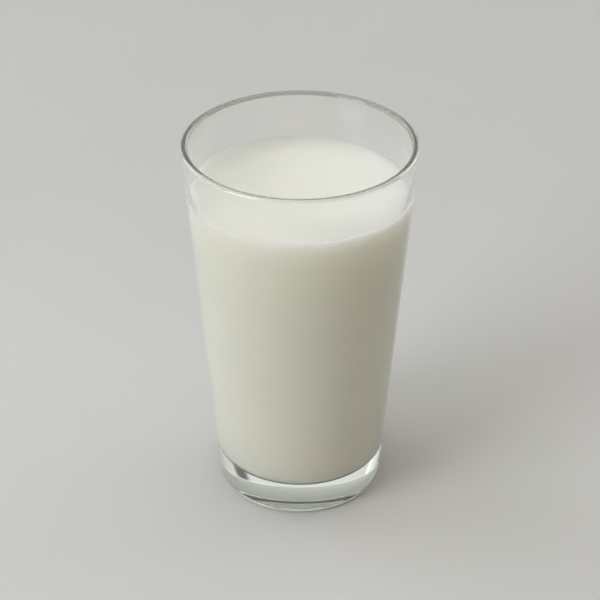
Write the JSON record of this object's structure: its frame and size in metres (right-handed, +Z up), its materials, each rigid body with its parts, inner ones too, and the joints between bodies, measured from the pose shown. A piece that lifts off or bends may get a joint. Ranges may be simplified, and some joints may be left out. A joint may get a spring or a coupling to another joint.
{
  "type": "glass of milk",
  "caption": "Tapered clear drinking glass with a thick base, rounded lip and straight side, filled with milk to a little below the rim.",
  "frame": {"origin": "middle of the foot, on the surface that the glass stands on", "axes": "+Z up along the axis of the glass; X and Y are alike, because both pieces are turned about Z"},
  "size_m": [0.088, 0.088, 0.149],
  "materials": {
    "clear_glass": "clear, fire-polished, faint grey-green tint in the thick base",
    "milk": "opaque white liquid with a smooth wet surface"
  },
  "bodies": {
    "root": {"tumbler": "clear_glass", "milk": "milk"}
  },
  "joints": []
}
